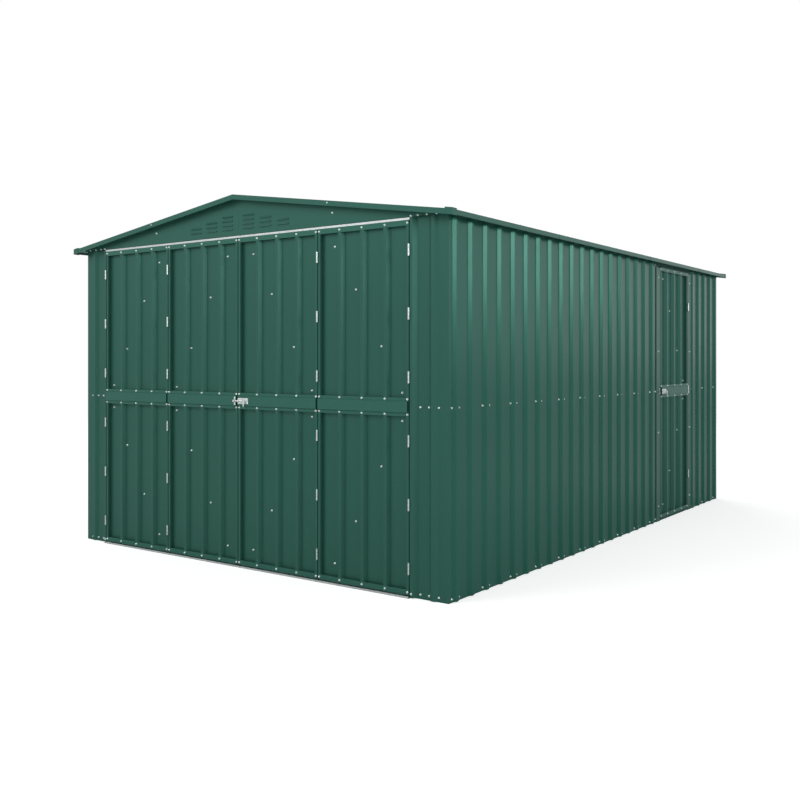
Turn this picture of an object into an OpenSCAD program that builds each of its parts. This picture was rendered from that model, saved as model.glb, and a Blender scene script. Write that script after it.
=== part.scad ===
// Ribbed steel garage: four folding leaves across the front gable and a
// hinged side door near the rear corner. The origin is on the ground in the
// middle of the plan. The front faces -Y and the side door faces +X.

/* [Building] */
// Width across the front, over the flat of the side sheets
building_w = 3050; // [2540:1:3660]
// Length from front to rear, over the flat of the end sheets
building_l = 4552; // [3793:1:5463]
// Height of the roof's underside at its lower edges
eave_h = 2035; // [1695:1:2442]
// Rise of the roof's underside from its lower edges to the ridge
roof_rise = 235; // [195:1:282]
// How far the roof reaches past the side sheets
side_overhang = 65; // [54:1:78]
// How far the roof reaches past the end sheets
end_overhang = 70; // [58:1:84]

/* [Sheets] */
// Thickness of wall, roof and door sheets
sheet_t = 1; // [0.8:0.1:1.2]
// Distance from rib to rib
rib_pitch = 158; // [132:1:190]
// Height of a rib above the flat of its sheet
rib_h = 15; // [12:1:18]
// Width of the flat top of a rib
rib_crest = 22; // [18:1:27]
// Width of each slope of a rib
rib_run = 18; // [15:1:22]
// Least distance from a corner to the nearest rib
rib_margin = 64; // [53:1:77]
// Gap between the ground and the wall sheets
sheet_lift = 3; // [2:0.5:4]

/* [Frame] */
// Thickness of rails, posts and jambs
frame_t = 2; // [1.6:0.1:2.4]
// Height and depth of the base rails
base_rail = 40; // [33:1:48]
// Height of the mid rails
mid_rail_tall = 50; // [42:1:60]
// Depth of the mid rails
mid_rail_deep = 25; // [21:1:30]
// Height of the middle of the mid rails and of the door belts
belt_mid = 1023; // [853:1:1227]
// Width of each side of a corner post
post_w = 40; // [33:1:48]
// Height of the headers over the doors
header_tall = 40; // [33:1:48]
// Radius of the anchor holes in the base rails
anchor_r = 5; // [4.2:0.1:6]
// Distance from the end sheets to the anchor holes
anchor_inset = 376; // [313:1:451]

/* [Doors] */
// Width of the fixed panel on each side of the front doors
front_panel_w = 237; // [198:1:284]
// Gap between one folding leaf and the next
leaf_gap = 6; // [5:0.5:7]
// Gap between the ground and the folding leaves
leaf_lift = 15; // [14:1:18]
// Width of the raised stile along each side of a leaf
stile_w = 18; // [15:1:21]
// Height of a leaf's stiles and ribs above its flat
stile_h = 22; // [18:1:26]
// How far a leaf's edges turn in behind its flat
stile_back = 8; // [7:1:9]
// Width of each slope of a leaf's ribs
leaf_rib_run = 12; // [10:1:14]
// Height of the strips along the top and bottom of a leaf
edge_rail = 30; // [25:1:36]
// Height of the belt across the middle of a leaf
belt_tall = 100; // [83:1:120]
// Height of each flat edge of the belt
belt_flange = 18; // [15:1:21]
// How far the middle of the belt stands out from its edges
belt_proud = 9; // [8:1:11]
// Distance from a leaf's edge to the end of its belt
belt_inset = 4; // [3:0.5:5]
// Width of the diagonal braces inside the leaves
brace_w = 40; // [33:1:48]
// Height of the steel tracks above and below the folding leaves
track_tall = 12; // [10:1:13]

/* [Side door] */
// Width of the side door's leaf
side_door_w = 642; // [535:1:770]
// Distance from the rear corner to the side door's hinge line
side_door_setback = 814; // [680:1:970]
// Gap between the side door and its frame
side_gap = 8; // [7:0.5:9.5]
// Gap between the ground and the side door
side_lift = 20; // [19:1:24]
// Gap between the top of the side door and the roof's lower edge
side_head = 27; // [23:1:32]
// How far the side door is set back from where a front leaf would stand
side_sink = 16; // [14:0.5:17]
// Width of the flat face of each jamb
jamb_w = 80; // [67:1:96]
// Depth of each jamb behind the wall's flat
jamb_deep = 50; // [42:1:60]

/* [Hinges] */
// Radius of a hinge barrel
barrel_r = 5; // [4.2:0.1:6]
// Length of a hinge barrel
barrel_l = 64; // [54:1:77]
// Thickness of a hinge plate
plate_t = 1.5; // [1.2:0.1:1.8]
// Radius of a hinge pin
pin_r = 2.5; // [2.1:0.1:3]
// Radial clearance of a hinge pin in its moving barrel
pin_clear = 0.08; // [0.06:0.01:0.1]
// Gap between the moving and the fixed parts of a barrel
knuckle_gap = 0.4; // [0.3:0.1:0.5]

/* [Bolts] */
// Height of the narrow plate under a keeper
keeper_tall = 52; // [44:1:62]
// Radius of a sliding bolt
bolt_r = 4.5; // [3.8:0.1:5.4]
// Radial clearance of a sliding bolt in its guides
bolt_clear = 0.1; // [0.06:0.02:0.1]
// Length of the plate under a bolt
bolt_plate_l = 90; // [82:1:108]
// Height of the plate under a bolt
bolt_plate_tall = 36; // [30:1:43]
// Width of each guide that holds a bolt
guide_w = 12; // [10:1:14]
// How far a bolt slides
bolt_travel = 30; // [26:1:31]
// Length of the padlock tail that hangs from a bolt
tail_l = 30; // [25:1:36]
// Width of the padlock tail
tail_w = 12; // [10:1:13]

/* [Roof] */
// Height of the trim along the roof's lower edges
eave_trim = 27; // [23:1:32]
// Height of the trim along the gables
barge_trim = 30; // [25:1:36]
// Width of the flat turned over the roof's edges
trim_flange = 30; // [25:1:36]
// Width of each side of the ridge cap
ridge_cap_w = 110; // [92:1:132]
// Length of the caps on the roof's four corners
corner_cap_l = 46; // [38:1:55]
// Width of the ridge beam
ridge_beam_w = 40; // [33:1:48]
// Depth of the ridge beam
ridge_beam_deep = 60; // [50:1:72]
// Depth of each purlin
purlin_deep = 50; // [42:1:60]

/* [Hidden] */
$fn = 32;

green = [0.16, 0.36, 0.30];
dark_green = [0.13, 0.30, 0.25];
galvanised = [0.72, 0.74, 0.75];
zinc = [0.80, 0.81, 0.82];

// Walls are numbered round the plan, and each is drawn as if it were the front:
// X runs along it, its outside faces -Y and its flat is at y = 0.
front = 0;
right = 1;
rear = 2;
left = 3;
half_w = building_w / 2;
half_l = building_l / 2;
inner_w = half_w - sheet_t;
inner_l = half_l - sheet_t;

// Roof
roof_half = half_w + side_overhang;
roof_end = half_l + end_overhang;
ridge_h = eave_h + roof_rise;
roof_slope = roof_rise / roof_half;
pitch = atan(roof_slope);
roof_seat = 0.02;
roof_top = rib_h + sheet_t + 2 * roof_seat;
cap_skin = 1.5;
cap_tall = 7;
function roof_z(x, off = 0) = ridge_h - abs(x) * roof_slope + off / cos(pitch);

// Heights
wall_top = roof_z(half_w + rib_h) - 2;
header_z = wall_top - base_rail;
track_z = wall_top - track_tall;
leaf_top = track_z - 2;
header_foot = header_z + 4;
header_back = stile_back + 4;
gable_flange_tall = 28;
gable_n = stile_h + sheet_t;
side_top = eave_h - side_head;
side_head_z = side_top + 6;
post_z = base_rail;
anchor_back = 15;

// Front doors
opening = building_w - 2 * front_panel_w;
leaf_pitch = opening / 4;
leaf_w = leaf_pitch - leaf_gap;
leaf_edge = leaf_gap / 2;
panel_edge = opening / 2 + leaf_edge;
face_n = stile_h + sheet_t;
belt_n = face_n + belt_proud;
panel_rib_inset = 90;
brace_end = 65;
brace_low = 0.13;
brace_high = 0.92;
track_ledge = 12;

// Side door, along the right wall
hinge_u = half_l - side_door_setback;
side_u1 = hinge_u - side_gap / 2;
side_u0 = side_u1 - side_door_w;
jamb_u1 = hinge_u + side_gap / 2;
jamb_u0 = side_u0 - side_gap;
jamb_flange = 25;
jamb_n = stile_h - side_sink;
frame_u1 = jamb_u1 + jamb_w;
frame_u0 = jamb_u0 - jamb_w;

// Hinges and bolts
barrel_n = face_n + barrel_r + 0.3;
hinge_back = jamb_deep - side_sink - 5;
bolt_n = belt_n + plate_t + guide_w / 2;
guide_r = guide_w / 2 + 1;
guide_u0 = 10;
guide_u1 = bolt_plate_l / 2 - 1;
tail_gap = 2;
keeper_clear = 1;
hinge_foot = 112;
hinge_head = 129;
hinge_count = 6;
hinge_step = (leaf_top - leaf_lift - barrel_l - hinge_foot - hinge_head) / (hinge_count - 1);
hinge_heights = [for (k = [0:hinge_count - 1]) leaf_lift + hinge_foot + k * hinge_step];
side_hinge_foot = 258;
side_hinge_heights = [
    side_lift + side_hinge_foot,
    belt_mid - barrel_l / 2,
    side_top - side_hinge_foot - barrel_l
];

// Placing
module wall(side) {
    reach = side == front || side == rear ? half_l : half_w;
    rotate([0, 0, side * 90]) translate([0, -reach, 0]) children();
}
module along_x(length) {
    rotate([90, 0, 90]) linear_extrude(length) children();
}
module along_y(length) {
    translate([0, length, 0]) rotate([90, 0, 0]) linear_extrude(length) children();
}
// A box from its lowest to its highest corner
module span(low, high) {
    translate(low) cube(high - low);
}

// Ribbed sheets
function rib_count(length) = floor((length - 2 * rib_margin) / rib_pitch);
function rib_places(length) = [
    for (k = [0:rib_count(length)]) (k - rib_count(length) / 2) * rib_pitch
];
function ribs_between(places, a, b) = [
    for (c = places) if (c - rib_crest / 2 - rib_run > a && c + rib_crest / 2 + rib_run < b) c
];
function rib_line(a, b, places, h, run) = concat(
    [[a, 0]],
    [for (c = places) each [
        [c - rib_crest / 2 - run, 0], [c - rib_crest / 2, -h],
        [c + rib_crest / 2, -h], [c + rib_crest / 2 + run, 0]
    ]],
    [[b, 0]]
);
module rib_section(a, b, places, h = rib_h, run = rib_run) {
    line = rib_line(a, b, places, h, run);
    polygon(concat(line, [for (i = [len(line) - 1:-1:0]) line[i] + [0, sheet_t]]));
}
module wall_sheet(a, b, places) {
    translate([0, 0, sheet_lift]) linear_extrude(wall_top - sheet_lift)
        rib_section(a, b, ribs_between(places, a, b));
}

// Walls
module left_wall() {
    color(green) wall(left) wall_sheet(-half_l, half_l, rib_places(building_l));
}
module rear_wall() {
    color(green) wall(rear) wall_sheet(-inner_w, inner_w, rib_places(building_w));
}
module right_wall_front() {
    color(green) wall(right) wall_sheet(-half_l, frame_u0, rib_places(building_l));
}
module right_wall_rear() {
    color(green) wall(right) wall_sheet(frame_u1, half_l, rib_places(building_l));
}
// The raised edge of a leaf or panel, from its free edge at x = 0
module stile_section() {
    difference() {
        translate([0, -stile_h]) square([stile_w, stile_h + stile_back]);
        translate([sheet_t, sheet_t - stile_h]) square([stile_w - 2 * sheet_t, stile_h + stile_back]);
    }
}
module front_panel() {
    rib_u = -inner_w + panel_rib_inset;
    u0 = -panel_edge - stile_w;
    inside = sheet_t - stile_h;
    translate([0, 0, sheet_lift]) linear_extrude(wall_top - sheet_lift) {
        rib_section(-inner_w, u0 - rib_run, [rib_u]);
        polygon([
            [u0 - rib_run, 0], [u0, -stile_h], [-panel_edge, -stile_h], [-panel_edge, stile_back],
            [-panel_edge - sheet_t, stile_back], [-panel_edge - sheet_t, inside],
            [u0 + sheet_t / 2, inside], [u0 - rib_run + sheet_t / 2, sheet_t], [u0 - rib_run, sheet_t]
        ]);
    }
}
module front_panel_left() {
    color(green) wall(front) front_panel();
}
module front_panel_right() {
    color(green) wall(front) mirror([1, 0, 0]) front_panel();
}

// Frame
module l_section(size) {
    square([size, frame_t]);
    square([frame_t, size]);
}
module base_rail_run(a, b) {
    difference() {
        translate([a, sheet_t, 0]) along_x(b - a) l_section(base_rail);
        for (u = [-1, 1] * (half_l - anchor_inset))
            translate([u, sheet_t + base_rail - anchor_back, -1]) cylinder(r = anchor_r, h = frame_t + 2);
    }
}
module end_rail_run(a, b) {
    translate([a, sheet_t, 0]) along_x(b - a) l_section(base_rail);
}
module base_rails() {
    color(dark_green) {
        wall(left) base_rail_run(-inner_l, inner_l);
        wall(right) base_rail_run(-inner_l, frame_u0 - jamb_flange);
        wall(right) base_rail_run(frame_u1 + jamb_flange, inner_l);
        wall(rear) end_rail_run(-inner_w + base_rail + 1, inner_w - base_rail - 1);
        for (m = [0, 1]) mirror([m, 0, 0])
            wall(front) end_rail_run(-inner_w + base_rail + 1, -panel_edge - stile_w);
    }
}
module mid_rail_run(a, b) {
    translate([a, sheet_t, belt_mid - mid_rail_tall / 2]) along_x(b - a) difference() {
        square([mid_rail_deep, mid_rail_tall]);
        translate([frame_t, frame_t]) square([mid_rail_deep, mid_rail_tall - 2 * frame_t]);
    }
}
module mid_rails() {
    color(dark_green) {
        wall(left) mid_rail_run(-inner_l + post_w, inner_l - post_w);
        wall(right) mid_rail_run(-inner_l + post_w, frame_u0 - jamb_flange);
        wall(right) mid_rail_run(frame_u1 + jamb_flange, inner_l - post_w);
        wall(rear) mid_rail_run(-inner_w + post_w, inner_w - post_w);
    }
}
module top_rail() {
    x1 = inner_w;
    x0 = inner_w - base_rail;
    translate([0, -inner_l, 0]) along_y(2 * inner_l) polygon([
        [x1, header_z], [x1, roof_z(x1)], [x0, roof_z(x0)], [x0, roof_z(x0) - frame_t],
        [x1 - frame_t, roof_z(x1 - frame_t) - frame_t], [x1 - frame_t, header_z]
    ]);
}
module top_rail_left() {
    color(dark_green) mirror([1, 0, 0]) top_rail();
}
module top_rail_right() {
    color(dark_green) difference() {
        top_rail();
        wall(right) span([jamb_u0, 0, header_z - 1], [jamb_u1, sheet_t + frame_t, side_head_z]);
    }
}
module header_box(back, reach) {
    tall = wall_top - header_foot;
    translate([-reach, back, header_foot]) along_x(2 * reach) difference() {
        square([header_tall, tall]);
        translate([frame_t, frame_t]) square([header_tall, tall - 2 * frame_t]);
    }
}
// The flange that stands up behind the foot of a gable, whose back is at depth y
module gable_flange(y, foot) {
    span([-panel_edge, y, foot], [panel_edge, y + frame_t, wall_top + gable_flange_tall]);
}
module front_header() {
    color(dark_green) wall(front) {
        header_box(header_back, inner_w - frame_t);
        gable_flange(sheet_t - gable_n, wall_top);
        span([-panel_edge, sheet_t, wall_top - frame_t], [panel_edge, header_back + frame_t, wall_top]);
        span([frame_t - inner_w, sheet_t - gable_n, wall_top],
            [inner_w - frame_t, header_back + frame_t, wall_top + frame_t]);
    }
}
module rear_header() {
    color(dark_green) wall(rear) {
        header_box(sheet_t, inner_w - frame_t);
        gable_flange(sheet_t, wall_top - frame_t);
    }
}
module corner_posts() {
    color(dark_green) for (sx = [0, 1], sy = [0, 1]) mirror([sx, 0, 0]) mirror([0, sy, 0])
        translate([-inner_w, -inner_l, post_z]) linear_extrude(header_z - post_z) l_section(post_w);
}
module door_posts() {
    color(dark_green) for (m = [0, 1]) mirror([m, 0, 0]) wall(front)
        translate([panel_edge, stile_back, frame_t]) linear_extrude(header_foot - frame_t) difference() {
            square([post_w, post_w]);
            translate([frame_t, frame_t]) square([post_w, post_w - 2 * frame_t]);
        }
}
module track_section(deep) {
    difference() {
        square([deep, track_tall]);
        translate([plate_t, -plate_t]) square([deep - 2 * plate_t, track_tall]);
    }
}
module door_track() {
    color(galvanised) wall(front) translate([-panel_edge, -face_n - 1, track_z - frame_t])
        along_x(2 * panel_edge) track_section(face_n + 1 + stile_back);
}
module floor_track() {
    color(galvanised) wall(front) translate([-panel_edge, -face_n - track_ledge, track_tall])
        mirror([0, 0, 1]) along_x(2 * panel_edge) track_section(face_n + track_ledge + 30);
}

// Folding leaves
module leaf_sheet(w, z0, z1) {
    places = [for (k = [1:3]) w * k / 4];
    translate([0, 0, z0 + sheet_t]) linear_extrude(z1 - z0 - 2 * sheet_t) {
        rib_section(stile_w - sheet_t, w - stile_w + sheet_t, places, stile_h, leaf_rib_run);
        stile_section();
        translate([w - stile_w, 0]) stile_section();
    }
}
// A strip folded over the end of a leaf, with its closed side at z = 0
module edge_rail_run(w) {
    span([0, -face_n, 0], [w, stile_back, sheet_t]);
    span([0, -face_n, 0], [w, -stile_h, edge_rail]);
}
module belt_run(w) {
    z0 = belt_mid - belt_tall / 2;
    z1 = z0 + belt_flange;
    z2 = z0 + belt_tall - belt_flange;
    z3 = z0 + belt_tall;
    y0 = -stile_h;
    y1 = -face_n;
    y2 = -belt_n;
    slope = belt_proud / 3;
    translate([belt_inset, 0, 0]) along_x(w - 2 * belt_inset) polygon([
        [y1, z0], [y1, z1], [y2, z1 + slope], [y2, z2 - slope], [y1, z2], [y1, z3],
        [y0, z3], [y0, z2 - sheet_t], [y2 + sheet_t, z2 - slope - sheet_t],
        [y2 + sheet_t, z1 + slope + sheet_t], [y0, z1 + sheet_t], [y0, z0]
    ]);
}
module leaf_rails(w, z0, z1) {
    translate([0, 0, z0]) edge_rail_run(w);
    translate([0, 0, z1]) mirror([0, 0, 1]) edge_rail_run(w);
    belt_run(w);
}
// Two flat bars inside a leaf, which meet at the belt on its far side
module leaf_braces(w, z0, z1) {
    u0 = brace_low * w;
    u1 = brace_high * w;
    b = brace_w / 2;
    z_mid = belt_tall / 3;
    translate([0, sheet_t, 0]) along_y(frame_t) {
        polygon([[u0 - b, z1 - brace_end], [u0 + b, z1 - brace_end],
            [u1 + b, belt_mid + z_mid], [u1 - b, belt_mid + z_mid]]);
        polygon([[u0 - b, z0 + brace_end], [u0 + b, z0 + brace_end],
            [u1 + b, belt_mid - z_mid], [u1 - b, belt_mid - z_mid]]);
    }
}
// Leaves are counted from the left
module at_leaf(number) {
    wall(front) translate([(number - 3) * leaf_pitch + leaf_edge, 0, 0]) children();
}
module door_leaf(number) {
    color(green) at_leaf(number) leaf_sheet(leaf_w, leaf_lift, leaf_top);
}
module pair_rails(numbers) {
    color(green) for (number = numbers) at_leaf(number) leaf_rails(leaf_w, leaf_lift, leaf_top);
}
module left_pair_rails() {
    pair_rails([1, 2]);
}
module right_pair_rails() {
    pair_rails([3, 4]);
}
module door_braces() {
    color(dark_green) for (m = [0, 1], number = [3, 4]) mirror([m, 0, 0])
        at_leaf(number) leaf_braces(leaf_w, leaf_lift, leaf_top);
}
// A whole hinge on a gap, with a plate along the edge on each side of it
module leaf_hinge(gap) {
    translate([0, -barrel_n, 0]) cylinder(r = barrel_r, h = barrel_l);
    for (m = [0, 1]) mirror([m, 0, 0])
        span([gap / 2 - plate_t, -barrel_n, 0], [gap / 2, stile_back - 2, barrel_l]);
}
module hinge_line(place) {
    for (z = hinge_heights) wall(front) translate([place * leaf_pitch, 0, z]) leaf_hinge(leaf_gap);
}
module jamb_hinges() {
    color(zinc) for (place = [-2, 2]) hinge_line(place);
}
module fold_hinges() {
    color(zinc) for (place = [-1, 1]) hinge_line(place);
}

// Bolts, drawn with the edge of their leaf at x = 0 and the bolt along X
module guide() {
    translate([0, -bolt_n, belt_mid]) rotate([0, 90, 0]) difference() {
        union() {
            cylinder(r = guide_r, h = guide_w);
            translate([-guide_r, 0, 0]) cube([2 * guide_r, bolt_n - belt_n, guide_w]);
        }
        translate([0, 0, -1]) cylinder(r = bolt_r + bolt_clear, h = guide_w + 2);
    }
}
module bolt_plate() {
    half = bolt_plate_tall / 2;
    span([guide_u0 - 4, -belt_n - plate_t, belt_mid - half],
        [bolt_plate_l + 4, -belt_n, belt_mid + half]);
    for (u = [guide_u0, guide_u1]) translate([u, 0, 0]) guide();
}
// The bolt drawn back. Shot, its tail stands beside the far guide
module bolt_rod() {
    tail_u = guide_u1 + guide_w + tail_gap + bolt_travel + tail_w / 2;
    difference() {
        union() {
            translate([4, -bolt_n, belt_mid]) rotate([0, 90, 0])
                cylinder(r = bolt_r, h = tail_u + tail_w / 2 - 4);
            translate([tail_u, -bolt_n - bolt_r, belt_mid - tail_l]) rotate([-90, 0, 0])
                cylinder(r = tail_w / 2, h = 3);
            span([tail_u - tail_w / 2, -bolt_n - bolt_r, belt_mid - tail_l],
                [tail_u + tail_w / 2, -bolt_n - bolt_r + 3, belt_mid]);
        }
        translate([tail_u, -bolt_n - bolt_r - 1, belt_mid - tail_l]) rotate([-90, 0, 0])
            cylinder(r = 3.5, h = 5);
    }
}
// The strap that takes the bolt's end, on a plate that lies at depth foot
module keeper(foot, gap) {
    half = keeper_tall / 2;
    hole = bolt_r + keeper_clear;
    strap_u = -gap - guide_w - 4;
    span([strap_u, -foot - plate_t, belt_mid - half],
        [strap_u + guide_w, -foot, belt_mid + half]);
    difference() {
        span([strap_u, -bolt_n - guide_r, belt_mid - guide_r],
            [strap_u + guide_w, -foot - plate_t, belt_mid + guide_r]);
        span([strap_u - 1, -bolt_n - hole, belt_mid - hole],
            [strap_u + guide_w + 1, -foot - plate_t, belt_mid + hole]);
    }
}
module front_lock() {
    color(zinc) at_leaf(3) {
        bolt_plate();
        keeper(belt_n, leaf_gap + belt_inset);
    }
}
module front_bolt() {
    color(zinc) at_leaf(3) translate([-bolt_travel, 0, 0]) bolt_rod();
}

// Side door
module side_jamb() {
    linear_extrude(header_z) {
        translate([0, -jamb_n]) square([frame_t, jamb_n + jamb_deep]);
        translate([0, -jamb_n]) square([jamb_w, frame_t]);
        translate([jamb_w - frame_t, -jamb_n]) square([frame_t, jamb_n + sheet_t + frame_t]);
        translate([jamb_w - frame_t, sheet_t]) square([jamb_flange + frame_t, frame_t]);
    }
}
module side_jambs() {
    color(green) wall(right) {
        translate([jamb_u1, 0, 0]) side_jamb();
        translate([jamb_u0, 0, 0]) mirror([1, 0, 0]) side_jamb();
    }
}
module side_header() {
    color(green) wall(right) {
        span([frame_u0, 0, side_head_z], [frame_u1, sheet_t, wall_top]);
        span([frame_u0, -jamb_n, side_head_z], [frame_u1, 0, side_head_z + frame_t]);
    }
}
module side_threshold() {
    color(dark_green) wall(right) {
        span([jamb_u0, 0, 0], [jamb_u1, base_rail, frame_t]);
        span([jamb_u0, 0, 0], [jamb_u1, frame_t, side_lift - 6]);
    }
}
module at_side_door() {
    wall(right) translate([side_u0, side_sink, 0]) children();
}
module side_door() {
    color(green) at_side_door() leaf_sheet(side_door_w, side_lift, side_top);
}
module side_door_rails() {
    color(green) at_side_door() leaf_rails(side_door_w, side_lift, side_top);
}
module side_door_braces() {
    color(dark_green) at_side_door() leaf_braces(side_door_w, side_lift, side_top);
}
// One stretch of a barrel from z0 to z1, with its plate towards the given side
module knuckle(z0, z1, towards, back) {
    translate([0, -barrel_n, z0]) cylinder(r = barrel_r, h = z1 - z0);
    mirror([towards, 0, 0])
        span([side_gap / 2 - plate_t, -barrel_n, z0], [side_gap / 2, back, z1]);
}
module at_side_hinges() {
    for (z = side_hinge_heights) wall(right) translate([hinge_u, side_sink, z]) children();
}
module side_door_barrels() {
    color(zinc) at_side_hinges() difference() {
        knuckle(barrel_l / 3 + knuckle_gap, barrel_l * 2 / 3 - knuckle_gap, 1, stile_back - 2);
        translate([0, -barrel_n, 0]) cylinder(r = pin_r + pin_clear, h = barrel_l);
    }
}
module side_door_pins() {
    color(zinc) at_side_hinges() {
        knuckle(0, barrel_l / 3, 0, hinge_back);
        knuckle(barrel_l * 2 / 3, barrel_l, 0, hinge_back);
        translate([0, -barrel_n, 0]) cylinder(r = pin_r, h = barrel_l);
    }
}
module side_lock() {
    color(zinc) at_side_door() bolt_plate();
}
module side_bolt() {
    color(zinc) at_side_door() bolt_rod();
}
module side_keeper() {
    color(zinc) at_side_door() keeper(stile_h, side_gap);
}

// Roof
module roof_sheet() {
    start = frame_t;
    end = (roof_half - sheet_t) / cos(pitch) - roof_top * tan(pitch);
    translate([0, 0, ridge_h]) rotate([0, pitch, 0]) translate([start, 0, roof_seat + sheet_t])
        along_x(end - start) mirror([0, 1])
        rib_section(-roof_end + sheet_t, roof_end - sheet_t, rib_places(building_l));
}
module roof_right() {
    color(green) roof_sheet();
}
module roof_left() {
    color(green) mirror([1, 0, 0]) roof_sheet();
}
// A folded strip that follows the roof from x0 to x1, between two offsets from
// its underside, on both slopes or on one
function roof_band(x0, x1, low, high) = x0 == 0
    ? [[-x1, roof_z(x1, low)], [0, roof_z(0, low)], [x1, roof_z(x1, low)],
       [x1, roof_z(x1, high)], [0, roof_z(0, high)], [-x1, roof_z(x1, high)]]
    : [[x0, roof_z(x0, low)], [x1, roof_z(x1, low)],
       [x1, roof_z(x1, high)], [x0, roof_z(x0, high)]];
module ridge_cap() {
    reach = roof_end - trim_flange - 2;
    color(green) translate([0, -reach, 0]) along_y(2 * reach)
        polygon(roof_band(0, ridge_cap_w, roof_top, roof_top + sheet_t));
}
module ridge_beam() {
    b = ridge_beam_w / 2;
    floor_z = roof_z(b) - ridge_beam_deep;
    color(dark_green) translate([0, -inner_l, 0]) along_y(2 * inner_l) difference() {
        polygon([[-b, floor_z], [b, floor_z], [b, roof_z(b)], [0, roof_z(0)], [-b, roof_z(b)]]);
        polygon([[frame_t - b, floor_z + frame_t], [b - frame_t, floor_z + frame_t],
            [b - frame_t, roof_z(b) - frame_t], [0, roof_z(0) - frame_t], [frame_t - b, roof_z(b) - frame_t]]);
    }
}
module purlins() {
    x0 = roof_half / 2;
    x1 = x0 + base_rail;
    color(dark_green) for (m = [0, 1]) mirror([m, 0, 0]) translate([0, -inner_l, 0]) along_y(2 * inner_l) {
        polygon(roof_band(x0, x1, -frame_t, 0));
        polygon([[x0, roof_z(x0)], [x0, roof_z(x0) - purlin_deep],
            [x0 + frame_t, roof_z(x0) - purlin_deep], [x0 + frame_t, roof_z(x0 + frame_t)]]);
    }
}
module gable() {
    foot = wall_top + 1;
    reach = min(inner_w, (ridge_h - foot) / roof_slope);
    along_y(sheet_t) polygon([
        [-reach, foot], [reach, foot], [reach, roof_z(reach)], [0, roof_z(0)], [-reach, roof_z(reach)]
    ]);
}
module front_gable() {
    color(green) translate([0, -half_l - gable_n, 0]) gable();
}
module rear_gable() {
    color(green) translate([0, inner_l, 0]) gable();
}
module barge_trims() {
    top = roof_top + sheet_t;
    color(green) for (m = [0, 1]) mirror([0, m, 0]) translate([0, -roof_end, 0]) {
        along_y(sheet_t) polygon(roof_band(0, roof_half, top - barge_trim, top));
        along_y(trim_flange) polygon(roof_band(0, roof_half, roof_top, top));
        along_y(trim_flange) polygon(roof_band(0, roof_half, -sheet_t, 0));
    }
}
module eave_trims() {
    top = roof_top + sheet_t;
    reach = roof_end - trim_flange - 1;
    x0 = roof_half - trim_flange;
    x1 = roof_half;
    color(green) for (m = [0, 1]) mirror([m, 0, 0]) translate([0, -reach, 0]) along_y(2 * reach) {
        polygon(roof_band(x1 - sheet_t, x1, top - eave_trim, top));
        polygon(roof_band(x0, x1, roof_top, top));
        polygon(roof_band(x0, x1, -sheet_t, 0));
    }
}
module corner_caps() {
    top = roof_top + sheet_t + roof_seat;
    side = roof_half + roof_seat;
    x1 = side + cap_skin;
    x0 = x1 - corner_cap_l;
    color(green) for (mx = [0, 1], my = [0, 1]) mirror([mx, 0, 0]) mirror([0, my, 0])
        translate([0, -roof_end - roof_seat - cap_skin, 0]) {
            along_y(corner_cap_l) polygon(roof_band(x0, x1, top, top + cap_tall));
            along_y(corner_cap_l) polygon(roof_band(side, x1, top - barge_trim, top + cap_tall));
            along_y(cap_skin) polygon(roof_band(x0, x1, top - barge_trim, top + cap_tall));
        }
}

left_wall();
rear_wall();
right_wall_front();
right_wall_rear();
front_panel_left();
front_panel_right();
base_rails();
floor_track();
mid_rails();
top_rail_left();
top_rail_right();
front_header();
rear_header();
door_track();
corner_posts();
door_posts();
side_jambs();
side_header();
side_threshold();
door_leaf(1);  // door_leaf_1
door_leaf(2);  // door_leaf_2
door_leaf(3);  // door_leaf_3
door_leaf(4);  // door_leaf_4
left_pair_rails();
right_pair_rails();
door_braces();
jamb_hinges();
fold_hinges();
front_lock();
front_bolt();
side_door();
side_door_rails();
side_door_braces();
side_door_barrels();
side_door_pins();
side_lock();
side_keeper();
side_bolt();
roof_left();
roof_right();
ridge_cap();
ridge_beam();
purlins();
front_gable();
rear_gable();
barge_trims();
eave_trims();
corner_caps();
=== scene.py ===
# Ribbed steel garage: finishes, screws, vents, laps, light and camera
import bpy
import math
from mathutils import Matrix, Vector


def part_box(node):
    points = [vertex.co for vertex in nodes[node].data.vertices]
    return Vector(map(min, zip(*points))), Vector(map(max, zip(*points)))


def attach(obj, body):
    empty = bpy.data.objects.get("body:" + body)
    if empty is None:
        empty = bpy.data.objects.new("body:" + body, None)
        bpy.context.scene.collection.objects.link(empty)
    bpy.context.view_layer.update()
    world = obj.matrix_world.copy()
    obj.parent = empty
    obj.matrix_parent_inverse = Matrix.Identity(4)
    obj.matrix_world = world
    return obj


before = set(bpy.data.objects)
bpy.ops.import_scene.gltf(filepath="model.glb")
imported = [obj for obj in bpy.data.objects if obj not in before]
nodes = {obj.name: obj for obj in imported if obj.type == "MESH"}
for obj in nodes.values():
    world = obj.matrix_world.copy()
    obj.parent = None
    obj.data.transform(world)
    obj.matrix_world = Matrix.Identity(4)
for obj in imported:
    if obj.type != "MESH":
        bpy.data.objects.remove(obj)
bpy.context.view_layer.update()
print("frame loaded,", len(nodes), "nodes")

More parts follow.
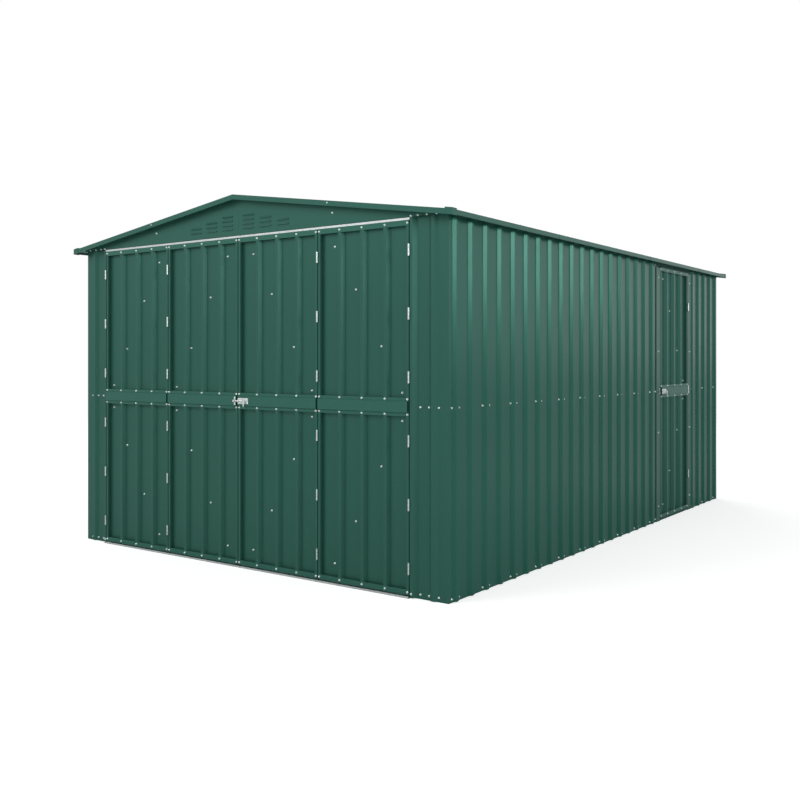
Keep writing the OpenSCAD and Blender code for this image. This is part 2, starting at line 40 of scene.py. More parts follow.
# Sizes of the building that the fittings are placed by, in metres
building = {
    "halfW": 1.525, "halfL": 2.276, "ribPitch": 0.158,
    "wallTop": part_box("left_wall")[1].z, "beltMid": 1.023,
    "leafPitch": 0.644, "leafW": 0.638, "leafEdge": 0.003, "leafReach": 0.001,
    "faceN": 0.023, "beltN": 0.032, "gableN": 0.023,
    "sideLeafU": 0.816, "sideLeafW": 0.642, "jambU0": 0.728, "jambU1": 1.546, "sideSink": 0.016,
    "roofHalf": 1.590, "ridgeH": 2.270, "roofSlope": 0.235 / 1.590,
}
pitch, top, mid = building["ribPitch"], building["wallTop"], building["beltMid"]
gableN, sideSink = building["gableN"], building["sideSink"]
facing = 0.9  # a normal this far along an axis counts as facing it


def leafHeights(name):
    low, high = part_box(name)
    return low.z - building["leafReach"], high.z + building["leafReach"]


def pickNone():
    if bpy.context.object and bpy.context.object.mode == "EDIT":
        bpy.ops.object.mode_set(mode="OBJECT")
    bpy.ops.object.select_all(action="DESELECT")


def pickOnly(piece):
    pickNone()
    piece.select_set(True)
    bpy.context.view_layer.objects.active = piece


def pickFaces(piece, wanted):
    bpy.ops.object.mode_set(mode="OBJECT")
    for vertex in piece.data.vertices:
        vertex.select = False
    for edge in piece.data.edges:
        edge.select = False
    for face in piece.data.polygons:
        face.select = wanted(face)
    bpy.ops.object.mode_set(mode="EDIT")
    bpy.ops.mesh.select_mode(type="FACE")


def applyPlace(piece):
    pickOnly(piece)
    bpy.ops.object.transform_apply(location=True, rotation=True, scale=True)


def joinAll(pieces, name):
    pickNone()
    for piece in pieces:
        piece.select_set(True)
    bpy.context.view_layer.objects.active = pieces[0]
    if len(pieces) > 1:
        bpy.ops.object.join()
    joined = bpy.context.object
    joined.name = name
    joined.data.name = name
    applyPlace(joined)
    return joined


# Wall sides count from the front round by the right: u runs along, n stands out, z is height
def onWall(side, u, n, z):
    w, l = building["halfW"] + n, building["halfL"] + n
    return [Vector((u, -l, z)), Vector((w, u, z)), Vector((-u, l, z)), Vector((-w, -u, z))][side]


def outward(side):
    return Vector([(0, -1, 0), (1, 0, 0), (0, 1, 0), (-1, 0, 0)][side])


# Height of the roof sheet's underside at x, or of a face that lies off above it
def roofZ(x, off):
    angle = math.atan(building["roofSlope"])
    return building["ridgeH"] - abs(x) * building["roofSlope"] + off / math.cos(angle)


def roofOut(x):
    angle = math.atan(building["roofSlope"])
    return Vector((math.copysign(math.sin(angle), x), 0, math.cos(angle)))


# One shape copied to many spots, each spot a point, the way it faces and its turn
def placeCopies(source, spots, name, body, material):
    copies = []
    for point, faces, turn in spots:
        copy = bpy.data.objects.new(name, source.data.copy())
        bpy.context.scene.collection.objects.link(copy)
        across = Vector((0, 0, 1)) if abs(faces.z) < facing else Vector((0, 1, 0))
        side = across.cross(faces).normalized()
        upright = faces.cross(side)
        turned = Matrix((side, upright, faces)).transposed().to_4x4()
        copy.matrix_world = Matrix.Translation(point) @ turned @ Matrix.Rotation(turn, 4, "Z")
        copies.append(copy)
    joined = joinAll(copies, name)
    joined.data.materials.clear()
    joined.data.materials.append(material)
    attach(joined, body)
    return joined


def newGroup(name, inputs, outputs):
    group = bpy.data.node_groups.new(name, "ShaderNodeTree")
    for label, kind, value in inputs:
        kind = "NodeSocket" + kind
        socket = group.interface.new_socket(label, in_out="INPUT", socket_type=kind)
        if value is not None:
            socket.default_value = value
    for label, kind in outputs:
        group.interface.new_socket(label, in_out="OUTPUT", socket_type="NodeSocket" + kind)
    return group, group.nodes.new("NodeGroupInput"), group.nodes.new("NodeGroupOutput")


def addNode(tree, kind, settings=None, values=None):
    node = tree.nodes.new("ShaderNode" + kind)
    for key, value in (settings or {}).items():
        setattr(node, key, value)
    for key, value in (values or {}).items():
        node.inputs[key].default_value = value
    return node


# Noise at a scale, with a detail and a roughness, on a vector that may be stretched first
def noise(tree, vector, scale, detail, rough, stretch=None):
    if stretch:
        mapping = addNode(tree, "Mapping", values={"Scale": stretch})
        tree.links.new(vector, mapping.inputs["Vector"])
        vector = mapping.outputs["Vector"]
    values = {"Scale": scale, "Detail": detail, "Roughness": rough}
    node = addNode(tree, "TexNoise", values=values)
    tree.links.new(vector, node.inputs["Vector"])
    return node.outputs["Fac"]


def maths(tree, operation, a, b):
    node = addNode(tree, "Math", {"operation": operation})
    for socket, value in zip(node.inputs, (a, b)):
        if isinstance(value, (int, float)):
            socket.default_value = value
        else:
            tree.links.new(value, socket)
    return node.outputs[0]


def remap(tree, value, start, end):
    values = {"From Min": start[0], "From Max": start[1], "To Min": end[0], "To Max": end[1]}
    node = addNode(tree, "MapRange", values=values)
    tree.links.new(value, node.inputs["Value"])
    return node.outputs["Result"]


# Enamel tone: slow clouds, faint runs down the sheet and a fine speckle,
# as a colour and a roughness; each pattern is a scale, a detail and a roughness
tonePattern = {
    "Clouds": (1.7, 4, 0.55), "Runs": (1.0, 3, 0.6, (14, 14, 0.6)), "Speckle": (900, 2, 0.6),
    "gloss": (6.5, 3, 0.6), "middle": 0.5,
}


def makeEnamelTone():
    tree, given, made = newGroup("enamelTone", [
        ("Vector", "Vector", None), ("Colour", "Color", (0.03, 0.1, 0.08, 1)),
        ("Clouds", "Float", 0.1), ("Runs", "Float", 0.05), ("Speckle", "Float", 0.05),
        ("Gloss Low", "Float", 0.34), ("Gloss High", "Float", 0.46),
    ], [("Colour", "Color"), ("Roughness", "Float")])
    vector = given.outputs["Vector"]
    level = 1.0
    for label in ("Clouds", "Runs", "Speckle"):
        drift = noise(tree, vector, *tonePattern[label])
        drift = maths(tree, "SUBTRACT", drift, tonePattern["middle"])
        drift = maths(tree, "MULTIPLY", drift, given.outputs[label])
        level = maths(tree, "ADD", drift, level)
    tint = addNode(tree, "VectorMath", {"operation": "SCALE"})
    tree.links.new(given.outputs["Colour"], tint.inputs[0])
    tree.links.new(level, tint.inputs["Scale"])
    tree.links.new(tint.outputs["Vector"], made.inputs["Colour"])
    gloss = addNode(tree, "Mix", {"data_type": "FLOAT"})
    tree.links.new(noise(tree, vector, *tonePattern["gloss"]), gloss.inputs["Factor"])
    tree.links.new(given.outputs["Gloss Low"], gloss.inputs["A"])
    tree.links.new(given.outputs["Gloss High"], gloss.inputs["B"])
    tree.links.new(gloss.outputs["Result"], made.inputs["Roughness"])
    return tree


# Sheet relief: the skin of stoved paint and the slow waves of thin rolled steel, in metres
reliefPattern = {"Skin": (420, 2, 0.5), "Waves": (3.2, 1, 0.4, (1, 1, 0.45))}


def makeSheetRelief():
    tree, given, made = newGroup("sheetRelief", [
        ("Vector", "Vector", None), ("Skin", "Float", 0.00001), ("Waves", "Float", 0.0004),
    ], [("Height", "Float")])
    parts = []
    for label, pattern in reliefPattern.items():
        bumps = noise(tree, given.outputs["Vector"], *pattern)
        parts.append(maths(tree, "MULTIPLY", bumps, given.outputs[label]))
    tree.links.new(maths(tree, "ADD", *parts), made.inputs["Height"])
    return tree


# Spangle: the frost-like crystals of hot-dip zinc, as a brightness and a roughness
crystals = {"warpScale": 60, "warpDetail": 2, "warp": 0.01,
            "tone": (0.82, 1.08), "rough": (0.30, 0.52)}


def makeSpangle():
    tree, given, made = newGroup("spangle", [
        ("Vector", "Vector", None), ("Size", "Float", 120.0),
    ], [("Tone", "Float"), ("Roughness", "Float")])
    values = {"Scale": crystals["warpScale"], "Detail": crystals["warpDetail"]}
    drift = addNode(tree, "TexNoise", values=values)
    tree.links.new(given.outputs["Vector"], drift.inputs["Vector"])
    small = addNode(tree, "VectorMath", {"operation": "SCALE"}, {"Scale": crystals["warp"]})
    tree.links.new(drift.outputs["Color"], small.inputs[0])
    warp = addNode(tree, "VectorMath", {"operation": "ADD"})
    tree.links.new(given.outputs["Vector"], warp.inputs[0])
    tree.links.new(small.outputs["Vector"], warp.inputs[1])
    cells = addNode(tree, "TexVoronoi")
    tree.links.new(warp.outputs["Vector"], cells.inputs["Vector"])
    tree.links.new(given.outputs["Size"], cells.inputs["Scale"])
    split = addNode(tree, "SeparateColor")
    tree.links.new(cells.outputs["Color"], split.inputs["Color"])
    tone = remap(tree, split.outputs["Red"], (0, 1), crystals["tone"])
    tree.links.new(tone, made.inputs["Tone"])
    rough = remap(tree, split.outputs["Green"], (0, 1), crystals["rough"])
    tree.links.new(rough, made.inputs["Roughness"])
    return tree


# Fine scratches left by drawing and handling, as a height and a mask
scratchPattern = {
    "long": (1.0, 2, 0.6, (1400, 1400, 60)), "cross": (1.0, 2, 0.6, (90, 700, 900)),
    "crossShare": 0.6, "mask": (0.55, 1.05),
}


def makeScratches():
    tree, given, made = newGroup("fineScratches", [
        ("Vector", "Vector", None), ("Scale", "Float", 1.0),
    ], [("Height", "Float"), ("Mask", "Float")])
    long = noise(tree, given.outputs["Vector"], *scratchPattern["long"])
    cross = noise(tree, given.outputs["Vector"], *scratchPattern["cross"])
    both = maths(tree, "ADD", long, maths(tree, "MULTIPLY", cross, scratchPattern["crossShare"]))
    height = maths(tree, "MULTIPLY", both, given.outputs["Scale"])
    tree.links.new(height, made.inputs["Height"])
    mask = remap(tree, both, scratchPattern["mask"], (0, 1))
    tree.links.new(mask, made.inputs["Mask"])
    return tree


enamelTone, sheetRelief = makeEnamelTone(), makeSheetRelief()
spangle, fineScratches = makeSpangle(), makeScratches()
print("shader groups made")


def startMaterial(name):
    material = bpy.data.materials.new(name)
    material.use_nodes = True
    tree = material.node_tree
    shader = tree.nodes["Principled BSDF"]
    place = tree.nodes.new("ShaderNodeTexCoord").outputs["Object"]
    return material, tree, shader, place


def placeGroup(tree, group, vector, values):
    node = tree.nodes.new("ShaderNodeGroup")
    node.node_tree = group
    tree.links.new(vector, node.inputs["Vector"])
    for key, value in values.items():
        node.inputs[key].default_value = value
    return node


def addBump(tree, height, shader):
    bump = addNode(tree, "Bump", values={"Strength": 1.0, "Distance": 1.0})
    tree.links.new(height, bump.inputs["Height"])
    tree.links.new(bump.outputs["Normal"], shader.inputs["Normal"])


glossSpread = {"under": 0.05, "over": 0.07}


def enamel(name, colour, settings):
    material, tree, shader, place = startMaterial(name)
    tone = placeGroup(tree, enamelTone, place, {
        "Colour": (*colour, 1), "Clouds": settings["clouds"],
        "Runs": settings["runs"], "Speckle": settings["speckle"],
        "Gloss Low": settings["gloss"] - glossSpread["under"],
        "Gloss High": settings["gloss"] + glossSpread["over"],
    })
    tree.links.new(tone.outputs["Colour"], shader.inputs["Base Color"])
    tree.links.new(tone.outputs["Roughness"], shader.inputs["Roughness"])
    depths = {"Skin": settings["skin"], "Waves": settings["waves"]}
    relief = placeGroup(tree, sheetRelief, place, depths)
    addBump(tree, relief.outputs["Height"], shader)
    shader.inputs["Specular IOR Level"].default_value = settings["specular"]
    shader.inputs["Metallic"].default_value = settings["flake"]
    return material


roughSpread = 0.12  # how much rougher bare metal is where it is scratched


def metal(name, colour, settings):
    material, tree, shader, place = startMaterial(name)
    shader.inputs["Metallic"].default_value = 1.0
    scratch = placeGroup(tree, fineScratches, place, {"Scale": settings["scratch"]})
    mix = addNode(tree, "Mix", {"data_type": "RGBA"})
    mix.inputs["A"].default_value = (*colour, 1)
    mix.inputs["B"].default_value = (*[c * settings["worn"] for c in colour], 1)
    if "spangle" in settings:
        crystal = placeGroup(tree, spangle, place, {"Size": settings["spangle"]})
        factor = remap(tree, crystal.outputs["Tone"], crystals["tone"], (0, 1))
        rough = crystal.outputs["Roughness"]
    else:
        factor = scratch.outputs["Mask"]
        span = (settings["rough"], settings["rough"] + roughSpread)
        rough = remap(tree, factor, (0, 1), span)
    tree.links.new(factor, mix.inputs["Factor"])
    tree.links.new(rough, shader.inputs["Roughness"])
    tree.links.new(mix.outputs["Result"], shader.inputs["Base Color"])
    addBump(tree, scratch.outputs["Height"], shader)
    return material


finishes = {
    "wall": {"clouds": 0.10, "runs": 0.06, "speckle": 0.05, "gloss": 0.22,
             "skin": 0.000006, "waves": 0.0008, "specular": 0.22, "flake": 0.28},
    "door": {"clouds": 0.08, "runs": 0.05, "speckle": 0.05, "gloss": 0.36,
             "skin": 0.000010, "waves": 0.0010, "specular": 0.20, "flake": 0.30},
    "trim": {"clouds": 0.08, "runs": 0.03, "speckle": 0.04, "gloss": 0.32,
             "skin": 0.000008, "waves": 0.0005, "specular": 0.22, "flake": 0.30},
    "frame": {"clouds": 0.12, "runs": 0.08, "speckle": 0.06, "gloss": 0.44,
              "skin": 0.000012, "waves": 0.0003, "specular": 0.20, "flake": 0.20},
}
finishes["roof"] = dict(finishes["wall"], clouds=0.14, runs=0.02)
finishes["belt"] = dict(finishes["trim"], waves=0.0003)
finishes["vent"] = dict(finishes["trim"], clouds=0.05)
# The wall and roof green is a darker copy of the door green, lowered to offset the side panel's
# light on the walls: painted shade
greens = {
    "wall": (0.021, 0.121, 0.090), "roof": (0.021, 0.121, 0.090), "door": (0.031, 0.127, 0.097),
    "trim": (0.031, 0.127, 0.097), "vent": (0.031, 0.127, 0.097), "belt": (0.036, 0.146, 0.112),
    "frame": (0.016, 0.090, 0.068),
}
paint = {part: enamel(part + "Enamel", greens[part], finishes[part]) for part in greens}
galvanised = metal("galvanisedSteel", (0.64, 0.68, 0.68),
                   {"spangle": 110.0, "worn": 0.80, "scratch": 0.000004})
zinc = metal("zincPlate", (0.80, 0.86, 0.85), {"worn": 0.78, "scratch": 0.000005, "rough": 0.26})
screwZinc = metal("screwZinc", (0.84, 0.92, 0.90),
                  {"worn": 0.85, "scratch": 0.000002, "rough": 0.34})
# Dark metal used only for the hinge rings: painted shade in the knuckle gaps
knuckleGapShade = metal("knuckleGapShade", (0.10, 0.10, 0.11),
                  {"worn": 0.7, "scratch": 0.000004, "rough": 0.40})

nodeFinish = {
    paint["wall"]: ["left_wall", "rear_wall", "right_wall_front", "right_wall_rear", "rear_gable"],
    paint["door"]: ["door_leaf_1", "door_leaf_2", "door_leaf_3", "door_leaf_4", "side_door",
                    "front_panel_left", "front_panel_right", "front_gable"],
    paint["belt"]: ["left_pair_rails", "right_pair_rails", "side_door_rails"],
    paint["trim"]: ["ridge_cap", "barge_trims", "eave_trims", "corner_caps",
                    "side_jambs", "side_header"],
    paint["roof"]: ["roof_left", "roof_right"],
    paint["frame"]: ["base_rails", "mid_rails", "top_rail_left", "top_rail_right", "front_header",
                     "rear_header", "corner_posts", "door_posts", "side_threshold", "door_braces",
                     "side_door_braces", "ridge_beam", "purlins"],
    galvanised: ["floor_track", "door_track"],
    zinc: ["jamb_hinges", "fold_hinges", "front_lock", "front_bolt", "side_door_barrels",
           "side_door_pins", "side_lock", "side_keeper", "side_bolt"],
}
for material, names in nodeFinish.items():
    for name in names:
        nodes[name].data.materials.clear()
        nodes[name].data.materials.append(material)
print("finishes on", sum(len(names) for names in nodeFinish.values()), "nodes")

# Washer-head screws: a dished washer under a six-sided head with a crown
screw = {"washerR": 0.0065, "washerTall": 0.0013, "washerSides": 12, "dish": 0.8,
         "headR": 0.0042, "headTall": 0.0042, "crown": 0.0009, "crownShare": 0.6}
smallScrew = dict(screw, washerR=0.0042, headR=0.0030, headTall=0.0022)


def modelScrew(name, size):
    pickNone()
    bpy.ops.mesh.primitive_cylinder_add(
        vertices=size["washerSides"], radius=size["washerR"], depth=size["washerTall"],
        location=(0, 0, size["washerTall"] / 2), end_fill_type="TRIFAN")
    washer = bpy.context.object
    pickFaces(washer, lambda f: f.normal.z > facing)
    bpy.ops.transform.resize(value=(size["dish"], size["dish"], 1))
    pickNone()
    bpy.ops.mesh.primitive_cylinder_add(
        vertices=6, radius=size["headR"], depth=size["headTall"],
        location=(0, 0, size["washerTall"] + size["headTall"] / 2))
    head = bpy.context.object
    pickFaces(head, lambda f: f.normal.z > facing)
    bpy.ops.mesh.inset(thickness=size["crown"], depth=size["crown"] * size["crownShare"])
    bpy.ops.object.mode_set(mode="OBJECT")
    return joinAll([washer, head], name)


# Each screw stops at its own angle, a golden angle on from the one before
screwTurns = {"step": 2.39996, "full": 6.283, "count": 0}
spots, sideSpots = [], []


def addSpot(to, side, u, n, z):
    screwTurns["count"] += 1
    turn = screwTurns["count"] * screwTurns["step"] % screwTurns["full"]
    to.append((onWall(side, u, n, z), outward(side), turn))


# Plain walls: a pair of screws at every second rib, into the base and middle rails
wallScrews = {"ribs": [(1, 14), (3, 14), (2, 9)], "reach": 0.035, "low": 0.019, "every": 2,
              "doorClear": 0.02}
doorway = (building["jambU0"] - wallScrews["doorClear"],
           building["jambU1"] + wallScrews["doorClear"])
for side, ribs in wallScrews["ribs"]:
    for k in range(-ribs, ribs + 1, wallScrews["every"]):
        for u in (k * pitch - wallScrews["reach"], k * pitch + wallScrews["reach"]):
            if side == 1 and doorway[0] < u < doorway[1]:
                continue
            for z in (wallScrews["low"], mid):
                addSpot(spots, side, u, 0, z)

# Fixed front panels and the foot of the gable above them
panelScrews = {"across": [1.463, 1.402, 1.345], "jamb": 1.300, "jambN": 0.022, "low": 0.024,
               "gableUp": 0.006}
for sign in (-1, 1):
    for u in panelScrews["across"]:
        for z in (panelScrews["low"], mid):
            addSpot(spots, 0, sign * u, 0, z)
        addSpot(spots, 0, sign * u, gableN, top + panelScrews["gableUp"])
    jamb = sign * panelScrews["jamb"]
    addSpot(spots, 0, jamb, panelScrews["jambN"], panelScrews["low"])
    addSpot(spots, 0, jamb, gableN, top + panelScrews["gableUp"])

# The strips beside the side door, then its jambs
stripScrews = {"beside": 0.012, "low": 0.024, "high": 0.020}
strips = (building["jambU0"] - stripScrews["beside"], building["jambU1"] + stripScrews["beside"])
for z in (stripScrews["low"], mid, top - stripScrews["high"]):
    for u in strips:
        addSpot(spots, 1, u, 0, z)
jambScrews = {"inset": 0.04, "faceN": 0.022, "heights": [0.12, 0.70, 1.34, 1.92]}
for z in jambScrews["heights"]:
    for u in (building["jambU0"] + jambScrews["inset"], building["jambU1"] - jambScrews["inset"]):
        addSpot(spots, 1, u, jambScrews["faceN"] - sideSink, z)

# Leaves: the strips along both ends, the belt's flat edges and the braces behind
leafScrews = {"edge": 0.015, "belt": 0.041, "across": [0.0, 0.25, 0.5, 0.75, 1.0], "side": 0.009,
              "brace": [0.17, 0.41, 0.69, 0.91], "braceHigh": [1.920, 1.670, 1.350, 1.097],
              "braceLow": [0.115, 0.370, 0.690, 0.945]}


def leafSpots(to, side, u0, w, ends, mirrored, sink):
    low, high = ends
    heights = (high - leafScrews["edge"], low + leafScrews["edge"],
               mid + leafScrews["belt"], mid - leafScrews["belt"])
    for share in leafScrews["across"]:
        u = u0 + min(max(share * w, leafScrews["side"]), w - leafScrews["side"])
        for z in heights:
            addSpot(to, side, u, building["faceN"] - sink, z)
    braces = zip(leafScrews["brace"], leafScrews["braceHigh"], leafScrews["braceLow"])
    for share, zHigh, zLow in braces:
        u = u0 + (1 - share if mirrored else share) * w
        addSpot(to, side, u, -sink, zHigh)
        addSpot(to, side, u, -sink, zLow)


for number in (1, 2, 3, 4):
    u0 = (number - 3) * building["leafPitch"] + building["leafEdge"]
    leafSpots(spots, 0, u0, building["leafW"], leafHeights("door_leaf_1"), number < 3, 0.0)
leafSpots(sideSpots, 1, building["sideLeafU"], building["sideLeafW"], leafHeights("side_door"),
          False, sideSink)

gableScrews = {"x": 0.755, "z": 2.112, "bargeN": 0.0652, "bargeUp": 0.004}
for end, stand in ((0, gableN), (2, 0)):
    for sign in (-1, 1):
        u = sign * gableScrews["x"]
        addSpot(spots, end, u, stand, gableScrews["z"])
        addSpot(spots, end, u, gableScrews["bargeN"], roofZ(u, gableScrews["bargeUp"]))

# Roof: pairs over the purlins at odd ribs, single screws in the ridge cap and eaves at even ones
roofScrews = {"ribs": 13, "purlin": 0.813, "reach": 0.035, "ridge": 0.092, "eave": 1.572,
              "sheetUp": 0.00102, "capUp": 0.01704,
              "purlinTurn": 0.7, "ridgeTurn": 0.9, "eaveTurn": 1.3}


def addRoofSpot(x, y, up, turn):
    spots.append((Vector((x, y, roofZ(x, up))), roofOut(x), turn))


for sign in (-1, 1):
    for k in range(-roofScrews["ribs"], roofScrews["ribs"] + 1):
        if k % 2:
            for y in (k * pitch - roofScrews["reach"], k * pitch + roofScrews["reach"]):
                turn = k * roofScrews["purlinTurn"]
                addRoofSpot(sign * roofScrews["purlin"], y, roofScrews["sheetUp"], turn)
        else:
            for line in ("ridge", "eave"):
                turn = k * roofScrews[line + "Turn"]
                addRoofSpot(sign * roofScrews[line], k * pitch, roofScrews["capUp"], turn)

screwShape = modelScrew("screwShape", screw)
placeCopies(screwShape, spots, "wallScrews", "root", screwZinc)
placeCopies(screwShape, sideSpots, "sideDoorScrews", "side_door", screwZinc)
bpy.data.objects.remove(screwShape)
print("screws placed:", len(spots) + len(sideSpots))

# Bolt plates and keepers, held by small screws
plateScrews = {"along": [0.028, 0.066, 0.086], "tall": 0.013, "plateUp": 0.0015,
               "keeperTall": 0.020, "frontKeeper": -0.020, "sideKeeper": -0.018,
               "sideKeeperN": 0.0235}
plateN = building["beltN"] + plateScrews["plateUp"]
smallRoot, smallSide = [], []
for turn in (-1, 1):
    z = mid + turn * plateScrews["tall"]
    for u in plateScrews["along"]:
        addSpot(smallRoot, 0, building["leafEdge"] + u, plateN, z)
        addSpot(smallSide, 1, building["sideLeafU"] + u, plateN - sideSink, z)
    z = mid + turn * plateScrews["keeperTall"]
    addSpot(smallRoot, 0, building["leafEdge"] + plateScrews["frontKeeper"], plateN, z)
    addSpot(smallRoot, 1, building["sideLeafU"] + plateScrews["sideKeeper"],
            plateScrews["sideKeeperN"] - sideSink, z)
smallShape = modelScrew("smallScrewShape", smallScrew)
placeCopies(smallShape, smallRoot, "keeperScrews", "root", screwZinc)
placeCopies(smallShape, smallSide, "sideBoltScrews", "side_door", screwZinc)
bpy.data.objects.remove(smallShape)
print("small screws placed:", len(smallRoot) + len(smallSide))

# Pressed vents in the gables, in columns of a middle and a number of rows
vent = {"long": 0.092, "tall": 0.010, "deep": 0.0055, "slope": 0.0036, "back": 0.003,
        "round": 0.0012, "thick": 0.0008, "columns": [(0.090, 4), (0.2315, 3), (0.373, 2)],
        "lowest": 2.083, "step": 0.026}


def modelVent():
    pickNone()
    bpy.ops.mesh.primitive_cube_add(size=1, location=(0, 0, vent["deep"] / 2))
    hood = bpy.context.object
    bpy.ops.transform.resize(value=(vent["long"], vent["tall"], vent["deep"]))
    applyPlace(hood)
    pickFaces(hood, lambda f: f.normal.y < -facing or f.normal.z < -facing)
    bpy.ops.mesh.delete(type="FACE")  # open below and behind
    bpy.ops.object.mode_set(mode="OBJECT")
    for vertex in hood.data.vertices:  # the upper edge runs back into the sheet
        vertex.select = vertex.co.y > 0 and vertex.co.z > vent["deep"] / 2
    bpy.ops.object.mode_set(mode="EDIT")
    bpy.ops.mesh.select_mode(type="VERT")
    bpy.ops.transform.translate(value=(0, -vent["back"], -vent["slope"]))
    bpy.ops.mesh.select_all(action="SELECT")
    bpy.ops.mesh.bevel(offset=vent["round"], segments=2, affect="EDGES")
    bpy.ops.mesh.normals_make_consistent(inside=False)
    bpy.ops.object.mode_set(mode="OBJECT")
    wall = hood.modifiers.new("wall", "SOLIDIFY")
    wall.thickness = vent["thick"]
    wall.offset = -1
    bpy.ops.object.modifier_apply(modifier="wall")
    return hood


ventShape = modelVent()
ventSpots = []
for end, stand in ((0, gableN), (2, 0)):
    for sign in (-1, 1):
        for middle, rows in vent["columns"]:
            for row in range(rows):
                point = onWall(end, sign * middle, stand, vent["lowest"] + row * vent["step"])
                ventSpots.append((point, outward(end), 0))
placeCopies(ventShape, ventSpots, "gableVents", "root", paint["vent"])
bpy.data.objects.remove(ventShape)
print("vents pressed:", len(ventSpots))


def modelStrip(name, size):
    pickNone()
    bpy.ops.mesh.primitive_cube_add(size=1, location=(0, 0, size["thick"] / 2))
    strip = bpy.context.object
    bpy.ops.transform.resize(value=(size["wide"], size["tall"], size["thick"]))
    applyPlace(strip)
    bpy.ops.object.mode_set(mode="EDIT")
    bpy.ops.mesh.select_all(action="SELECT")
    bpy.ops.mesh.bevel(offset=size["bevel"], segments=2, affect="EDGES")
    bpy.ops.object.mode_set(mode="OBJECT")
    strip.name = name
    return strip


# The upright seam in the middle of each gable
seam = {"tall": 0.145, "wide": 0.014, "thick": 0.0007, "bevel": 0.0002, "foot": 0.012}
seamShape = modelStrip("seamShape", seam)
seamMid = top + seam["foot"] + seam["tall"] / 2
seamSpots = []
for end, stand in ((0, gableN), (2, 0)):
    seamSpots.append((onWall(end, 0, stand, seamMid), outward(end), 0))
placeCopies(seamShape, seamSpots, "gableSeams", "root", paint["trim"])
bpy.data.objects.remove(seamShape)

# Laps where one length of eave trim runs over the next
lap = {"tall": 0.027, "wide": 0.016, "thick": 0.0012, "bevel": 0.0004,
       "along": [-1.10, 0.45, 1.60], "trimUp": 0.017, "drop": 0.0135}
lapShape = modelStrip("lapShape", lap)
lapN = building["roofHalf"] - building["halfW"]
lapZ = roofZ(building["roofHalf"], lap["trimUp"]) - lap["drop"]
lapSpots = []
for side in (1, 3):
    for u in lap["along"]:
        lapSpots.append((onWall(side, u, lapN, lapZ), outward(side), 0))
placeCopies(lapShape, lapSpots, "eaveLaps", "root", paint["trim"])
bpy.data.objects.remove(lapShape)
print("seams and laps placed:", len(seamSpots) + len(lapSpots))

# Gaps between the knuckles of each hinge, as thin dark rings: painted shade standing in for the
# shadow inside each gap
ring = {"r": 0.0051, "tall": 0.0007, "rim": 0.0012, "sides": 16, "barrel": 0.064, "match": 0.0004,
        "axisN": 0.0283, "shares": [1 / 3, 2 / 3],
        "columns": [("jamb_hinges", (-2, 2)), ("fold_hinges", (-1, 1))]}


def modelRing():
    pickNone()
    bpy.ops.mesh.primitive_cylinder_add(vertices=ring["sides"], radius=ring["r"],
                                        depth=ring["tall"], location=(0, 0, 0))
    shape = bpy.context.object
    pickFaces(shape, lambda f: abs(f.normal.z) > facing)
    bpy.ops.mesh.inset(thickness=ring["rim"])
    bpy.ops.object.mode_set(mode="OBJECT")
    return shape


ringShape = modelRing()
ringSpots = []
for node, columns in ring["columns"]:
    levels = sorted({round(v.co.z, 4) for v in nodes[node].data.vertices})
    for low in levels:
        if min(abs(z - low - ring["barrel"]) for z in levels) < ring["match"]:  # a barrel's foot
            for column in columns:
                for share in ring["shares"]:
                    u = column * building["leafPitch"]
                    point = onWall(0, u, ring["axisN"], low + ring["barrel"] * share)
                    ringSpots.append((point, Vector((0, 0, 1)), 0))
placeCopies(ringShape, ringSpots, "hingeRings", "root", knuckleGapShade)
bpy.data.objects.remove(ringShape)
print("hinge rings:", len(ringSpots))

# Pale floor and soft room, both white to the camera
stageSettings = {"floorSize": 300, "floorCuts": 4, "floorColour": (0.80, 0.80, 0.80, 1),
                 "floorRough": 0.9, "floorLift": 0.56, "worldGrey": 0.55}
pickNone()
bpy.ops.mesh.primitive_grid_add(
    x_subdivisions=stageSettings["floorCuts"], y_subdivisions=stageSettings["floorCuts"],
    size=stageSettings["floorSize"], location=(0, 0, 0))
floor = bpy.context.object
floor.name = "studioFloor"
floorMaterial, tree, shader, place = startMaterial("paleFloor")
shader.inputs["Base Color"].default_value = stageSettings["floorColour"]
shader.inputs["Roughness"].default_value = stageSettings["floorRough"]
shader.inputs["Specular IOR Level"].default_value = 0.0
path = tree.nodes.new("ShaderNodeLightPath")
glow = maths(tree, "MULTIPLY", path.outputs["Is Camera Ray"], stageSettings["floorLift"])
tree.links.new(glow, shader.inputs["Emission Strength"])
shader.inputs["Emission Color"].default_value = (1, 1, 1, 1)
floor.data.materials.append(floorMaterial)

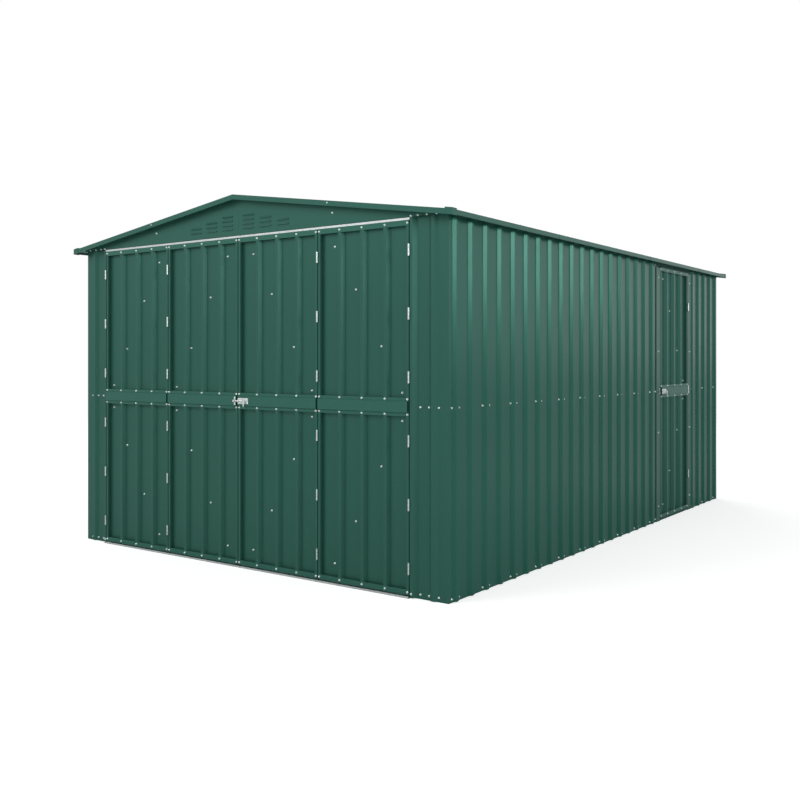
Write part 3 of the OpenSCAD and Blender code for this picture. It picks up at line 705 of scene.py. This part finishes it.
world = bpy.data.worlds.new("softRoom")
bpy.context.scene.world = world
world.use_nodes = True
tree = world.node_tree
background = tree.nodes["Background"]
path = tree.nodes.new("ShaderNodeLightPath")
seen = path.outputs["Is Camera Ray"]
for ray in ("Is Glossy Ray", "Is Transmission Ray"):
    seen = maths(tree, "MAXIMUM", seen, path.outputs[ray])
level = addNode(tree, "Mix", {"data_type": "FLOAT"})
level.inputs["A"].default_value = stageSettings["worldGrey"]
level.inputs["B"].default_value = 1.0
tree.links.new(seen, level.inputs["Factor"])
tree.links.new(level.outputs["Result"], background.inputs["Strength"])
background.inputs["Color"].default_value = (1, 1, 1, 1)

panels = {
    "keyPanel": {"place": (-3.5, -9.0, 7.0), "aim": (0, -1.5, 1.0),
                 "wide": 5.0, "tall": 4.0, "power": 260},
    "sidePanel": {"place": (9.15, -3.6, 3.3), "aim": (1.5, -1.0, 1.9),
                  "wide": 3.8, "tall": 2.4, "power": 170},
    "backPanel": {"place": (-6.0, 9.0, 6.0), "aim": (0, 1.0, 1.0),
                  "wide": 6.0, "tall": 4.0, "power": 200},
}
for name, panel in panels.items():
    light = bpy.data.lights.new(name, "AREA")
    light.shape = "RECTANGLE"
    light.size, light.size_y, light.energy = panel["wide"], panel["tall"], panel["power"]
    lamp = bpy.data.objects.new(name, light)
    bpy.context.scene.collection.objects.link(lamp)
    lamp.location = panel["place"]
    aim = Vector(panel["aim"]) - Vector(panel["place"])
    lamp.rotation_euler = aim.to_track_quat("-Z", "Y").to_euler()
    lamp.visible_camera = False

view = {"place": (4.154, -6.379, 1.284), "look": (-0.583, 0.813, 0.0),
        "lens": 41.94, "sensor": 36, "shift": -0.052, "clipEnd": 200}
cameraData = bpy.data.cameras.new("viewCamera")
cameraData.lens = view["lens"]
cameraData.sensor_width = view["sensor"]
cameraData.shift_y = view["shift"]
cameraData.clip_end = view["clipEnd"]
camera = bpy.data.objects.new("viewCamera", cameraData)
bpy.context.scene.collection.objects.link(camera)
camera.location = view["place"]
camera.rotation_euler = Vector(view["look"]).to_track_quat("-Z", "Y").to_euler()
bpy.context.scene.camera = camera
bpy.context.scene.view_settings.view_transform = "Standard"
print("stage, light and camera set")
